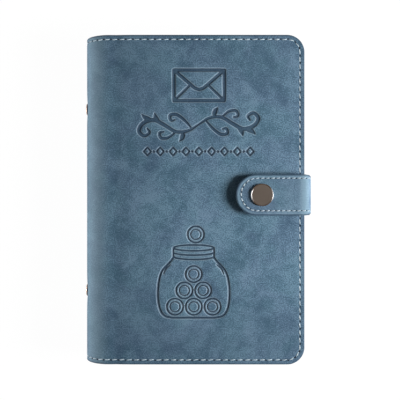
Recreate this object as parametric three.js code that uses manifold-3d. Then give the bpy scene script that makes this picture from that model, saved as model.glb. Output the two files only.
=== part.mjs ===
// A six-ring cash envelope wallet, closed and lying on its back cover.
//
// A soft cover of three layers (leather, stiffener, lining) wraps round a rounded spine. A ring
// mechanism is riveted inside the spine and carries twelve card envelopes. A strap sewn into the
// back cover's fore edge folds round the wallet and snaps onto the front cover.
//
// Millimetres. The scene graph is built with x = 0 at the outside of the spine, y = 0 halfway up
// the cover and z = 0 on the table. X runs to the fore edge, Y up the cover, Z up from the table.
// The exported group moves x so that the origin is at the middle of the wallet's footprint.

import * as THREE from "three";
import { mergeVertices } from "three/addons/utils/BufferGeometryUtils.js";
import Module from "manifold-3d";

const wasm = await Module();
wasm.setup();

// Driving dimensions: the cover
const coverHeight = 190;
const coverWidth = 127.3;
const coverThickness = 33;
const coverCorner = 10;
const leather = 0.8;
const stiffener = 1.3;
const lining = 0.6;
const layerGap = 0.05;
const spineFlat = 8;
const stiffenerEdge = 21;
const stepLength = 3;
const hingeAngle = THREE.MathUtils.degToRad(40);
const hingeGap = 0.15;

// Driving dimensions: the ring mechanism
const plateLength = 172;
const plateWidth = 13.2;
const plateWall = 1.7;
const plateArch = 2.6;
const plateSheet = 0.6;
const lipWidth = 0.9;
const railLength = 164;
const railSheet = 0.8;
const railTilt = 0.4;
const ringRadius = 10.5;
const wireDiameter = 2.6;
const ringFoot = THREE.MathUtils.degToRad(152);
const ringPitch = 19;
const ringGroupGap = 51;
const tipGap = 0.1;
const pegDiameter = 1.2;
const pegLength = 0.8;

// Driving dimensions: the rivets that hold the mechanism
const rivetSpacing = 108;
const rivetHead = 7.3;
const rivetHeadHeight = 0.7;
const rivetShank = 3.8;
const rivetClinch = 5.4;
const rivetClinchHeight = 0.7;
const spacerWall = 0.65;

// Driving dimensions: the strap and its snap
const strapWidth = 23.5;
const strapLeather = 0.75;
const strapLining = 0.5;
const strapCentreY = 2.7;
const strapRoot = 12;
const strapStandoff = 2.2;
const strapTipFromSpine = 87.6;
const lowerBend = 2.6;
const upperBend = 4;
const snapFromSpine = 102.5;
const snapHeight = 3.2;
const capDiameter = 13.2;
const capHeight = 1.2;
const capShank = 3.2;
const socketDiameter = 10.6;
const studBase = 10;
const studBaseHeight = 0.6;
const studBall = 4.4;
const postFlange = 9.2;
const postFlangeHeight = 0.4;
const postShank = 2.6;

// Driving dimensions: the envelopes and the pockets inside the front cover
const envelopeCount = 12;
const envelopeHeight = 170;
const envelopeMargin = 5;
const envelopeReach = 88;
const marginThickness = 0.5;
const marginPitch = 1;
const envelopeClearance = 0.15;
const foldStart = 4;
const foldLength = 14;
const edgeTaper = 4;
const edgeThickness = 0.8;
const envelopeCorner = 3;
const holeDiameter = 6;
const holeLead = 1;
const thumbNotch = 11;
const tabReach = 6;
const tabHeight = 15;
const pocketSheet = 0.5;
const pocketEdges = [40, 54, 68];
const pocketHeights = [coverHeight, 96, 74];
const pocketLow = -coverHeight / 2;

// Clearances
const fit = 0.3;
const snug = 0.1;

// Worked out from the driving dimensions
const middle = coverThickness / 2;
const spineCentreX = Math.sqrt(middle ** 2 - (spineFlat / 2) ** 2);
const panelLining = leather + stiffener + 2 * layerGap;
const spineLining = leather + layerGap;
const panelInside = panelLining + lining;
const spineInside = spineLining + lining;
const strapThickness = strapLeather + layerGap + strapLining;
const strapOuterX = coverWidth + strapStandoff + strapThickness;
const strapTopZ = coverThickness + snapHeight + strapThickness;
const strapRootZ = leather + (panelLining - leather - strapThickness) / 2;
const wireRadius = wireDiameter / 2;

// A three.js geometry as a solid that can be cut and joined.
function solid(geometry) {
  const bare = geometry.clone();
  bare.deleteAttribute("normal");
  bare.deleteAttribute("uv");
  const merged = mergeVertices(bare, 1e-4);
  const vertProperties = merged.attributes.position.array;
  const triVerts = new Uint32Array(merged.index.array);
  return new wasm.Manifold(new wasm.Mesh({ numProp: 3, vertProperties, triVerts }));
}

// A solid back as a three.js geometry.
function geometryOf(body) {
  const { vertProperties, triVerts } = body.getMesh();
  const geometry = new THREE.BufferGeometry();
  geometry.setAttribute("position", new THREE.BufferAttribute(vertProperties, 3));
  geometry.setIndex(new THREE.BufferAttribute(triVerts, 1));
  return geometry;
}

// An outline in X and Y, standing from one height to another.
function plan(shape, zLow, zHigh, curveSegments = 8) {
  const depth = zHigh - zLow;
  const geometry = new THREE.ExtrudeGeometry(shape, { depth, bevelEnabled: false, curveSegments });
  return solid(geometry.translate(0, 0, zLow));
}

// A profile in X and Z, running from one Y to another.
function section(points, yLow, yHigh) {
  const shape = new THREE.Shape(points);
  const depth = yHigh - yLow;
  const geometry = new THREE.ExtrudeGeometry(shape, { depth, bevelEnabled: false });
  return solid(geometry.rotateX(Math.PI / 2).translate(0, yHigh, 0));
}

// A round bar along Z from one height to another.
function barZ(x, y, diameter, zLow, zHigh, sides = 20) {
  const length = zHigh - zLow;
  const geometry = new THREE.CylinderGeometry(diameter / 2, diameter / 2, length, sides);
  return solid(geometry.rotateX(Math.PI / 2).translate(x, y, (zLow + zHigh) / 2));
}

// A round bar along X from one x to another.
function barX(y, z, diameter, xLow, xHigh, sides = 20) {
  const length = xHigh - xLow;
  const geometry = new THREE.CylinderGeometry(diameter / 2, diameter / 2, length, sides);
  return solid(geometry.rotateZ(Math.PI / 2).translate((xLow + xHigh) / 2, y, z));
}

function block(xLow, xHigh, yLow, yHigh, zLow, zHigh) {
  const geometry = new THREE.BoxGeometry(xHigh - xLow, yHigh - yLow, zHigh - zLow);
  const centre = [(xLow + xHigh) / 2, (yLow + yHigh) / 2, (zLow + zHigh) / 2];
  return solid(geometry.translate(...centre));
}

// A turned piece about the vertical at x, y. Its profile is pairs of radius and height.
function turned(profile, x, y, sides = 24) {
  const points = profile.map(([radius, height]) => new THREE.Vector2(radius, height));
  points.push(points[0].clone());
  const geometry = new THREE.LatheGeometry(points, sides);
  return solid(geometry.rotateX(Math.PI / 2).translate(x, y, 0));
}

// A rectangle whose left and right corners have their own radii.
function outline(xLow, xHigh, yLow, yHigh, leftCorner, rightCorner) {
  const shape = new THREE.Shape();
  const quarter = Math.PI / 2;
  shape.moveTo(xLow + leftCorner, yLow);
  shape.lineTo(xHigh - rightCorner, yLow);
  shape.absarc(xHigh - rightCorner, yLow + rightCorner, rightCorner, -quarter, 0);
  shape.lineTo(xHigh, yHigh - rightCorner);
  shape.absarc(xHigh - rightCorner, yHigh - rightCorner, rightCorner, 0, quarter);
  shape.lineTo(xLow + leftCorner, yHigh);
  if (leftCorner > 0) {
    shape.absarc(xLow + leftCorner, yHigh - leftCorner, leftCorner, quarter, 2 * quarter);
    shape.lineTo(xLow, yLow + leftCorner);
    shape.absarc(xLow + leftCorner, yLow + leftCorner, leftCorner, 2 * quarter, 3 * quarter);
  } else {
    shape.lineTo(xLow, yLow);
  }
  return shape;
}

const material = (color, roughness, metalness) =>
  new THREE.MeshStandardMaterial({ color, roughness, metalness });
const materials = {
  leather: material(0x55718a, 0.62, 0),
  lining: material(0x4a6276, 0.75, 0),
  board: material(0x8a7f6c, 0.9, 0),
  steel: material(0xc9ccd1, 0.25, 1),
  darkNickel: material(0x6b625b, 0.25, 1),
  brass: material(0x9a7342, 0.35, 1),
  card: material(0xd9c8a3, 0.85, 0),
};

const wallet = new THREE.Group();

function add(name, body, finish) {
  const mesh = new THREE.Mesh(geometryOf(body), finish);
  mesh.name = name;
  wallet.add(mesh);
}

// The cover: every layer is a sheet that runs from a panel into the rounded spine.

// A point on the spine's curve, sunk by inset below the outer face. The angle is measured up from
// the horizontal. The curve is flattened where the mechanism's rivets pull it in.
function spinePoint(inset, angle) {
  const radius = middle - inset;
  const x = Math.max(spineCentreX - radius * Math.cos(angle), inset);
  return new THREE.Vector2(x, middle + radius * Math.sin(angle));
}

// One face of a sheet, seen along Y: round the spine from one angle to a quarter turn up or down,
// then a step to the panel's depth, then the panel.
function sheetFace(fromAngle, side, spineInset, panelInset, steps) {
  const toAngle = (side * Math.PI) / 2;
  const height = (inset) => (side > 0 ? coverThickness - inset : inset);
  const points = [];
  for (let i = 0; i <= steps; i += 1) {
    points.push(spinePoint(spineInset, fromAngle + ((toAngle - fromAngle) * i) / steps));
  }
  if (panelInset !== spineInset) {
    points.push(new THREE.Vector2(stiffenerEdge - fit - stepLength, height(spineInset)));
    points.push(new THREE.Vector2(stiffenerEdge - fit, height(panelInset)));
  }
  points.push(new THREE.Vector2(coverWidth, height(panelInset)));
  return points;
}

function sheet(fromAngle, side, spineInset, panelInset, thickness, steps) {
  const outer = sheetFace(fromAngle, side, spineInset, panelInset, steps);
  const inner = sheetFace(fromAngle, side, spineInset + thickness, panelInset + thickness, steps);
  return section([...outer, ...inner.reverse()], -coverHeight / 2, coverHeight / 2);
}

const coverOutline = outline(
  -coverWidth, coverWidth, -coverHeight / 2, coverHeight / 2, coverCorner, coverCorner,
);
const coverBlank = plan(coverOutline, -fit, coverThickness + fit);
const rivetYs = [rivetSpacing / 2, -rivetSpacing / 2];
const hingeHalfGap = hingeGap / 2 / middle;
const backFromAngle = hingeAngle - hingeHalfGap;
const frontFromAngle = hingeAngle + hingeHalfGap;
const backSteps = 26;
const frontSteps = 10;

function drilled(body, cutters) {
  return cutters.reduce((left, cutter) => left.subtract(cutter), body);
}

const rivetHoles = rivetYs.map((y) =>
  barX(y, middle, rivetShank + 2 * snug, -fit, spineInside + fit));
const studHole = barZ(snapFromSpine, strapCentreY, postShank + 2 * snug, 0, coverThickness + fit)
  .subtract(block(0, coverWidth, -coverHeight, coverHeight, -fit, middle));

const leatherBack = sheet(backFromAngle, -1, 0, 0, leather, backSteps).intersect(coverBlank);
add("leather_back_and_spine", drilled(leatherBack, rivetHoles), materials.leather);

const liningBack = sheet(backFromAngle, -1, spineLining, panelLining, lining, backSteps);
add("lining_back_and_spine", drilled(liningBack.intersect(coverBlank), rivetHoles), materials.lining);

const leatherFront = sheet(frontFromAngle, 1, 0, 0, leather, frontSteps).intersect(coverBlank);
add("leather_front", leatherFront.subtract(studHole), materials.leather);

const liningFront = sheet(frontFromAngle, 1, spineLining, panelLining, lining, frontSteps);
add("lining_front", liningFront.intersect(coverBlank), materials.lining);

// The stiffeners lie between the two sheets. The back one is notched for the strap's root, the
// front one is drilled and sunk for the snap's post.
const boardOutline = outline(
  stiffenerEdge, coverWidth, -coverHeight / 2, coverHeight / 2, 0, coverCorner,
);
const boardLow = leather + layerGap;
const strapLow = strapCentreY - strapWidth / 2;
const strapHigh = strapCentreY + strapWidth / 2;
const rootNotch = block(
  coverWidth - strapRoot - fit, coverWidth + fit, strapLow - fit, strapHigh + fit, 0, middle,
);
const boardBack = plan(boardOutline, boardLow, boardLow + stiffener).subtract(rootNotch);
add("stiffener_back", boardBack, materials.board);

const boardTop = coverThickness - boardLow;
const postFlangeLow = boardTop - stiffener;
const postSeat = barZ(
  snapFromSpine, strapCentreY, postFlange + 2 * fit, 0, postFlangeLow + postFlangeHeight + snug,
);
const boardFront = plan(boardOutline, boardTop - stiffener, boardTop);
add("stiffener_front", drilled(boardFront, [studHole, postSeat]), materials.board);

// Pockets sewn to the front cover's lining: one as tall as the cover, then two card slots.
pocketEdges.forEach((edge, i) => {
  const top = coverThickness - panelInside - layerGap - i * (pocketSheet + layerGap);
  const panel = outline(edge, coverWidth, pocketLow, pocketLow + pocketHeights[i], 0, coverCorner);
  const name = i === 0 ? "slip_pocket" : `card_slot_${i}`;
  add(name, plan(panel, top - pocketSheet, top).intersect(coverBlank), materials.lining);
});

// The ring mechanism: an arched plate whose lips carry two rails, and six rings in two halves.

// Where the lining's inner face lies, at a distance from the middle of the spine.
const spineInsideX = (offset) =>
  Math.max(spineCentreX - Math.sqrt((middle - spineInside) ** 2 - offset ** 2), spineInside);

const plateBase = spineInsideX(plateWidth / 2) + snug;
const archTop = plateBase + plateWall + plateArch;

// The plate's section: straight side walls with an arch on top, and lips turned in at the foot.
function plateSection() {
  const half = plateWidth / 2;
  const archSteps = 8;
  const arch = (halfWidth, height) => {
    const points = [];
    for (let i = 0; i <= archSteps; i += 1) {
      const angle = (Math.PI * i) / archSteps;
      const x = plateBase + plateWall + height * Math.sin(angle);
      points.push(new THREE.Vector2(x, middle - halfWidth * Math.cos(angle)));
    }
    return points;
  };
  const lip = (side) => {
    const inner = side * (half - plateSheet);
    const tip = side * (half - lipWidth - plateSheet);
    return [
      new THREE.Vector2(plateBase + plateSheet, middle + inner),
      new THREE.Vector2(plateBase + plateSheet, middle + tip),
      new THREE.Vector2(plateBase, middle + tip),
      new THREE.Vector2(plateBase, middle + side * half),
    ];
  };
  const inside = arch(half - plateSheet, plateArch - plateSheet).reverse();
  return [...lip(-1), ...arch(half, plateArch), ...lip(1).reverse(), ...inside];
}

// The rings' places along the spine: two groups of three.
const ringYs = [2, 1, 0].map((i) => ringGroupGap / 2 + i * ringPitch)
  .flatMap((y) => [y, -y])
  .sort((a, b) => b - a);

const railOuterZ = plateWidth / 2 - plateSheet - snug;
const railFootX = plateBase + plateSheet + snug;
const railTopX = railFootX + railSheet;
const ringCentreX = railTopX + snug + ringRadius;
const slotWidth = wireDiameter + 4 * fit;
const footZ = ringRadius * Math.sin(ringFoot);
const slotFrom = footZ - wireRadius - 2 * fit;

const plateEnd = plateWidth / 2;
const plateStadium = new THREE.Shape();
plateStadium.absarc(0, plateLength / 2 - plateEnd, plateEnd, 0, Math.PI);
plateStadium.absarc(0, plateEnd - plateLength / 2, plateEnd, Math.PI, 2 * Math.PI);
const plateBlank = solid(
  new THREE.ExtrudeGeometry(plateStadium, { depth: archTop + fit, bevelEnabled: false })
    .rotateY(Math.PI / 2)
    .translate(0, 0, middle),
);
const ringSlots = ringYs.flatMap((y) => [1, -1].map((side) => {
  const near = middle + side * slotFrom;
  const far = middle + side * (plateWidth / 2 + fit);
  const [zLow, zHigh] = [Math.min(near, far), Math.max(near, far)];
  return block(0, archTop + fit, y - slotWidth / 2, y + slotWidth / 2, zLow, zHigh);
}));
const plateHoles = rivetYs.map((y) =>
  barX(y, middle, rivetShank + 2 * snug, plateBase + plateWall, archTop + fit));
const plate = section(plateSection(), -plateLength / 2, plateLength / 2).intersect(plateBlank);
add("ring_plate", drilled(plate, [...ringSlots, ...plateHoles]), materials.steel);

// Each rail is a flat strip that leans a little towards the spine along the middle.
const spacerDiameter = rivetShank + 2 * snug + 2 * spacerWall;
function rail(side) {
  const outer = middle + side * railOuterZ;
  const inner = middle + side * snug;
  const strip = section(
    [
      new THREE.Vector2(railFootX, outer),
      new THREE.Vector2(railTopX, outer),
      new THREE.Vector2(railTopX - railTilt, inner),
      new THREE.Vector2(railFootX - railTilt, inner),
    ],
    -railLength / 2,
    railLength / 2,
  );
  const notches = rivetYs.map((y) =>
    barX(y, middle, spacerDiameter + 2 * fit, 0, archTop));
  return drilled(strip, notches);
}

// The line down the middle of a half ring's wire, from its tip round to its foot.
class HalfRing extends THREE.Curve {
  constructor(side, y) {
    super();
    this.side = side;
    this.y = y;
  }

  getPoint(t, target = new THREE.Vector3()) {
    const tip = tipGap / 2 / ringRadius;
    const angle = tip + t * (ringFoot - tip);
    const x = ringCentreX + ringRadius * Math.cos(angle);
    return target.set(x, this.y, middle + this.side * ringRadius * Math.sin(angle));
  }
}

// A half ring: the wire, the foot that stands on its rail, and a peg or its socket at the tip.
function halfRing(side, y) {
  const wireSides = 8;
  const corners = [];
  for (let i = 0; i < wireSides; i += 1) {
    const angle = (2 * Math.PI * i) / wireSides;
    corners.push(new THREE.Vector2(wireRadius * Math.cos(angle), wireRadius * Math.sin(angle)));
  }
  const wire = solid(new THREE.ExtrudeGeometry(new THREE.Shape(corners), {
    steps: 11,
    extrudePath: new HalfRing(side, y),
  }));
  const footX = ringCentreX + ringRadius * Math.cos(ringFoot);
  const foot = barX(y, middle + side * footZ, wireDiameter, railTopX + layerGap, footX + wireRadius / 2, 8);
  const tipX = ringCentreX + ringRadius;
  const body = wire.add(foot);
  if (side < 0) return body.add(barZ(tipX, y, pegDiameter, middle - 2, middle + pegLength, 8));
  const socket = barZ(tipX, y, pegDiameter + 2 * snug, middle - fit, middle + pegLength + fit, 8);
  return body.subtract(socket);
}

[["front", 1], ["back", -1]].forEach(([name, side]) => {
  add(`ring_rail_${name}`, rail(side), materials.steel);
  ringYs.forEach((y, i) => {
    add(`half_ring_${name}_${i + 1}`, halfRing(side, y), materials.steel);
  });
});

// Two rivets clamp the spine, a spacer and the plate together.
function rivet(y) {
  const head = barX(y, middle, rivetHead, -rivetHeadHeight / 2, -layerGap, 24);
  const crownGeometry = new THREE.CylinderGeometry(
    rivetHead / 2 - rivetHeadHeight, rivetHead / 2, rivetHeadHeight / 2, 24,
  );
  const crown = solid(crownGeometry.rotateZ(Math.PI / 2)
    .translate((-rivetHeadHeight * 3) / 4, y, middle));
  const shank = barX(y, middle, rivetShank, -rivetHeadHeight / 2, archTop + rivetClinchHeight);
  const clinchLow = archTop + layerGap;
  const clinch = barX(y, middle, rivetClinch, clinchLow, clinchLow + rivetClinchHeight);
  return head.add(crown).add(shank).add(clinch);
}

rivetYs.forEach((y, i) => {
  const place = i === 0 ? "upper" : "lower";
  add(`spine_rivet_${place}`, rivet(y), materials.brass);
  const spacerShare = spacerDiameter / (plateWidth - 2 * plateSheet);
  const archInside = (plateArch - plateSheet) * Math.sqrt(1 - spacerShare ** 2);
  const spacerHigh = plateBase + plateWall + archInside - snug;
  const tube = barX(y, middle, spacerDiameter, spineInside + snug, spacerHigh);
  const bore = barX(y, middle, rivetShank + 2 * snug, 0, archTop);
  add(`rivet_spacer_${place}`, tube.subtract(bore), materials.steel);
});

// The envelopes: each is threaded on the rings by a thin margin, which fans out to its body.
const envelopeLow = panelInside + envelopeClearance;
const pocketsLow = coverThickness - panelInside - pocketEdges.length * (pocketSheet + layerGap);
const envelopePitch = (pocketsLow - envelopeClearance - envelopeLow) / envelopeCount;
const envelopeThickness = envelopePitch - envelopeClearance;

function envelope(index) {
  const marginOffset = (index - (envelopeCount - 1) / 2) * marginPitch;
  const widestOffset = ((envelopeCount - 1) / 2) * marginPitch;
  const wireX = ringCentreX + Math.sqrt(ringRadius ** 2 - marginOffset ** 2);
  const holeX = wireX + (holeLead * Math.abs(marginOffset)) / widestOffset;
  const marginZ = middle + marginOffset;
  const bodyZ = envelopeLow + (index + 0.5) * envelopePitch;
  const right = holeX + envelopeReach;
  const half = envelopeHeight / 2;
  const face = (side) => [
    new THREE.Vector2(holeX - envelopeMargin, marginZ + (side * marginThickness) / 2),
    new THREE.Vector2(holeX + foldStart, marginZ + (side * marginThickness) / 2),
    new THREE.Vector2(holeX + foldStart + foldLength, bodyZ + (side * envelopeThickness) / 2),
    new THREE.Vector2(right - edgeTaper, bodyZ + (side * envelopeThickness) / 2),
    new THREE.Vector2(right, bodyZ + (side * edgeThickness) / 2),
    new THREE.Vector2(right + tabReach, bodyZ + (side * edgeThickness) / 2),
  ];
  const body = section([...face(-1), ...face(1).reverse()], -half, half);
  const blank = plan(
    outline(holeX - envelopeMargin, right, -half, half, envelopeCorner, envelopeCorner),
    0, coverThickness, 4,
  );
  const tabPitch = (envelopeHeight - 2 * envelopeCorner - tabHeight) / (envelopeCount - 1);
  const tabLow = half - envelopeCorner - tabHeight - index * tabPitch;
  const tab = plan(
    outline(right - edgeTaper, right + tabReach, tabLow, tabLow + tabHeight, 0, 2),
    0, coverThickness, 3,
  );
  const holes = ringYs.map((y) => barZ(holeX, y, holeDiameter, 0, coverThickness, 8));
  const notchX = (holeX + foldStart + foldLength + right) / 2;
  const notch = barZ(notchX, half, 2 * thumbNotch, 0, coverThickness, 20);
  return drilled(body.intersect(blank.add(tab)), [...holes, notch]);
}

for (let i = 0; i < envelopeCount; i += 1) {
  add(`envelope_${String(i + 1).padStart(2, "0")}`, envelope(i), materials.card);
}

// The strap: two layers that leave the back cover's edge, bend up, and bend over the front cover.
// They are split across the middle of each bend, where the strap flexes.

// One stretch of the strap, seen along Y, between two depths below its outer face.
function strapStretch(name, near, far) {
  const quarter = Math.PI / 2;
  const half = quarter / 2;
  const steps = 4;
  const lowerCentre = [strapOuterX - lowerBend, strapRootZ + lowerBend];
  const upperCentre = [strapOuterX - upperBend, strapTopZ - upperBend];
  const bend = (centre, radius, from, to, depth) => {
    const points = [];
    for (let i = 0; i <= steps; i += 1) {
      const angle = from + ((to - from) * i) / steps;
      const reach = radius - depth;
      points.push(new THREE.Vector2(
        centre[0] + reach * Math.cos(angle), centre[1] + reach * Math.sin(angle),
      ));
    }
    return points;
  };
  const lowerGap = hingeGap / 2 / lowerBend;
  const upperGap = hingeGap / 2 / upperBend;
  const faces = {
    root: (depth) => [
      new THREE.Vector2(coverWidth - strapRoot, strapRootZ + depth),
      ...bend(lowerCentre, lowerBend, -quarter, -half - lowerGap, depth),
    ],
    side: (depth) => [
      ...bend(lowerCentre, lowerBend, -half + lowerGap, 0, depth),
      ...bend(upperCentre, upperBend, 0, half - upperGap, depth),
    ],
    tab: (depth) => [
      ...bend(upperCentre, upperBend, half + upperGap, quarter, depth),
      new THREE.Vector2(strapTipFromSpine, strapTopZ - depth),
    ],
  };
  return section([...faces[name](near), ...faces[name](far).reverse()], strapLow, strapHigh);
}

const strapBlank = plan(
  outline(strapTipFromSpine, strapOuterX + fit, strapLow, strapHigh, strapWidth / 2 - snug, 0.01),
  coverThickness, strapTopZ + fit, 10,
);
const capHole = barZ(
  snapFromSpine, strapCentreY, capShank + 2 * snug, coverThickness, strapTopZ + fit,
);
const strapLayers = [
  ["leather", 0, strapLeather, materials.leather],
  ["lining", strapLeather + layerGap, strapThickness, materials.lining],
];
strapLayers.forEach(([layer, near, far, finish]) => {
  add(`strap_root_${layer}`, strapStretch("root", near, far), finish);
  add(`strap_side_${layer}`, strapStretch("side", near, far), finish);
  const tab = strapStretch("tab", near, far).intersect(strapBlank);
  add(`strap_tab_${layer}`, tab.subtract(capHole), finish);
});

// The snap: cap and socket on the strap, stud and post on the front cover.
const tabUnder = strapTopZ - strapThickness;
const capRadius = capDiameter / 2;
const capLow = strapTopZ + layerGap;
const shankLow = tabUnder - 1.1;
const shankRadius = capShank / 2;
const capEdge = 0.5;
add("snap_cap", turned([
  [0, shankLow],
  [shankRadius, shankLow],
  [shankRadius, capLow],
  [capRadius - capEdge / 2, capLow],
  [capRadius, capLow + capEdge / 2],
  [capRadius, capLow + capHeight - 2 * capEdge],
  [capRadius - capEdge / 3, capLow + capHeight - capEdge],
  [capRadius - capEdge, capLow + capHeight - capEdge / 3],
  [capRadius - 2 * capEdge, capLow + capHeight],
  [0, capLow + capHeight],
], snapFromSpine, strapCentreY, 32), materials.darkNickel);

const socketRadius = socketDiameter / 2;
const socketHigh = tabUnder - layerGap;
const socketLow = coverThickness + studBaseHeight + 2 * layerGap + snug;
const ballRadius = studBall / 2;
const socketFloor = socketHigh - 0.9;
add("snap_socket", turned([
  [shankRadius + snug, socketHigh],
  [shankRadius + snug, socketFloor],
  [ballRadius + fit, socketFloor],
  [ballRadius + fit, socketLow + 0.5],
  [ballRadius + snug, socketLow],
  [socketRadius - 0.5, socketLow],
  [socketRadius, socketLow + 0.5],
  [socketRadius, socketHigh],
], snapFromSpine, strapCentreY), materials.steel);

const studLow = coverThickness + layerGap;
const studHigh = shankLow - snug;
const postRadius = postShank / 2;
add("snap_stud", turned([
  [postRadius + snug, studLow],
  [studBase / 2, studLow],
  [studBase / 2, studLow + studBaseHeight],
  [ballRadius - fit, studLow + studBaseHeight],
  [ballRadius, studHigh - 0.7],
  [ballRadius - fit, studHigh],
  [postRadius + snug, studHigh],
], snapFromSpine, strapCentreY), materials.steel);

add("snap_post", turned([
  [0, postFlangeLow],
  [postFlange / 2, postFlangeLow],
  [postFlange / 2, postFlangeLow + postFlangeHeight],
  [postRadius, postFlangeLow + postFlangeHeight],
  [postRadius, studHigh - snug],
  [0, studHigh - snug],
], snapFromSpine, strapCentreY), materials.brass);

// The origin goes to the middle of the footprint, which runs from the rivets to the strap.
wallet.position.x = -(strapOuterX - rivetHeadHeight) / 2;

export default wallet;
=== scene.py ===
"""Looks of a six-ring cash envelope wallet that lies closed on its back cover, seen from above.

Sizes are in millimetres, with X from the spine, and turn into Blender's metres where a mesh is made.
Places on the cover are (s, y): s is the length along the leather from the middle of the spine and y
runs up the cover.
"""

import math

import bpy
import numpy as np
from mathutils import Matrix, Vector


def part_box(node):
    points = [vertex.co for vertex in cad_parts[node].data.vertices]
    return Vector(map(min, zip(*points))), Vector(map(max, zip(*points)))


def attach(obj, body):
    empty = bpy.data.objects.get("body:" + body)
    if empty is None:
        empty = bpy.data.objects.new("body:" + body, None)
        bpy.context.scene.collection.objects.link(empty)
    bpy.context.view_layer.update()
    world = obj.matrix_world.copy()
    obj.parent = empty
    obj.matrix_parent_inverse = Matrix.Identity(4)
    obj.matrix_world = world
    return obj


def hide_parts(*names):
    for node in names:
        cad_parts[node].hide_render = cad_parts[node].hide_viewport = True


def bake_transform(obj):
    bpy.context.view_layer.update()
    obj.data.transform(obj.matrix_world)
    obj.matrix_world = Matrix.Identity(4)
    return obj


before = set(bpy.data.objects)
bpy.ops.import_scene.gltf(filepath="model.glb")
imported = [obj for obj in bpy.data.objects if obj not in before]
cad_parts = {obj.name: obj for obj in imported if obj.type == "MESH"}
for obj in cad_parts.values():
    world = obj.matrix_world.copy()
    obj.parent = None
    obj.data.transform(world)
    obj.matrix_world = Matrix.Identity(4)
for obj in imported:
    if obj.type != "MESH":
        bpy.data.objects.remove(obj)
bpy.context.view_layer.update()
MM = 0.001
SPINE_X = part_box("leather_back_and_spine")[0].x / MM


def box_of(node):
    """A node's low corner, high corner and middle, in millimetres from the spine."""
    low, high = (np.array(corner) / MM - (SPINE_X, 0, 0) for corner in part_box(node))
    return low, high, (low + high) / 2


# The cover's sizes, from the frame where it has them
COVER_WIDTH, HALF_HEIGHT, _ = box_of("leather_back_and_spine")[1]
THICKNESS = box_of("leather_front")[1][2]
MIDDLE = THICKNESS / 2
SPINE_FLAT = 4.0
SPINE_CENTRE = math.sqrt(MIDDLE**2 - SPINE_FLAT**2)
FLAT_ANGLE = math.asin(SPINE_FLAT / MIDDLE)
PANEL_START = SPINE_FLAT + MIDDLE * (math.pi / 2 - FLAT_ANGLE)
COVER_LENGTH = PANEL_START + COVER_WIDTH - SPINE_CENTRE
CORNER = 10.0
CORNER_REACH = 1.4 * CORNER
# How strongly the painted shade darkens the cover
PAINTED_SHADE_SHARE = 0.8
LEATHER = 0.8
LINING = 0.6
LINING_AT_SPINE = 0.85
LINING_AT_PANEL = 2.2
JOGGLE = (17.2, 20.9)
GUTTER_X = 18.2
GUTTER_WIDTH = 5.2
GUTTER_DEPTH = 0.5
EDGE_ROUND = 0.7
EDGE_DROP = 0.3
STITCH_INSET = 2.7
STITCH_PITCH = 4.26
STITCH_GAP = 0.14
STITCH_SLANT = 0.34
CHANNEL_DEPTH = 0.16
CHANNEL_WIDTH = 0.55
RIVET_Y = box_of("spine_rivet_upper")[2][1]
DIMPLE_DEPTH = 0.75
DIMPLE_WIDTH = 5.6

# The strap's sizes, whose length s starts at the lower bend
tab_low, tab_high, tab_middle = box_of("strap_tab_leather")
STRAP_TIP = tab_low[0]
STRAP_TOP = tab_high[2]
STRAP_Y = tab_middle[1]
STRAP_HALF = (tab_high[1] - tab_low[1]) / 2
STRAP_OUTER_X = box_of("strap_side_leather")[1][0]
STRAP_ROOT_X, _, STRAP_ROOT_Z = box_of("strap_root_leather")[0]
LOWER_BEND = 2.6
UPPER_BEND = 4.0
LOWER_ARC = LOWER_BEND * math.pi / 2
UPPER_ARC = UPPER_BEND * math.pi / 2
STRAP_SIDE = STRAP_TOP - UPPER_BEND - STRAP_ROOT_Z - LOWER_BEND
STRAP_MIDDLE = LOWER_ARC + STRAP_SIDE / 2
TAB_START = LOWER_ARC + STRAP_SIDE + UPPER_ARC
STRAP_LENGTH = TAB_START + STRAP_OUTER_X - UPPER_BEND - STRAP_TIP
TIP_START = STRAP_LENGTH - STRAP_HALF
STRAP_LEATHER = (0, 0.75)
STRAP_LINING = (0.8, 1.3)
STRAP_PITCH = 2.95
STRAP_INSET = 2.2
STRAP_SKEW = 0.5
TIP_INSET = 0.5
STRAP_ROW = STRAP_HALF - STRAP_INSET - STRAP_SKEW / 2
STRAP_RUN = TIP_START - 1 - TIP_INSET


def smooth(t):
    t = np.clip(t, 0, 1)
    return t * t * (3 - 2 * t)


def hump(x, middle, width):
    """1 at the middle, falling off to both sides over the width."""
    return np.exp(-(((x - middle) / width) ** 2))


def unit(vectors):
    return vectors / np.linalg.norm(vectors, axis=-1, keepdims=True)


def to_frame(points):
    """Points in millimetres from the spine, as metres in the row frame."""
    return (np.asarray(points, float) + np.array([SPINE_X, 0, 0])) * MM


# Surfaces


def gutter(x):
    return GUTTER_DEPTH * hump(x, GUTTER_X, GUTTER_WIDTH)


def cover_xz(s):
    """X, height above the middle and slope of the outer face at s, before the gutter is pressed in."""
    s = np.asarray(s, float)
    angle = FLAT_ANGLE + (s - SPINE_FLAT) / MIDDLE
    places = [s < SPINE_FLAT, s >= PANEL_START]
    slope = np.select(places, [FLAT_ANGLE * s / SPINE_FLAT, math.pi / 2 + 0 * s], angle)
    on_panel = SPINE_CENTRE + s - PANEL_START
    x = np.select(places, [0 * s, on_panel], SPINE_CENTRE - MIDDLE * np.cos(angle))
    up = np.select(places, [s, MIDDLE + 0 * s], MIDDLE * np.sin(angle))
    return x, up, slope


def s_of_x(x):
    return PANEL_START + x - SPINE_CENTRE


def dimple(s, y):
    """How deep the rivets pull the leather in round their heads."""
    return DIMPLE_DEPTH * hump(np.hypot(s, np.abs(y) - RIVET_Y), 0, DIMPLE_WIDTH)


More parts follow.
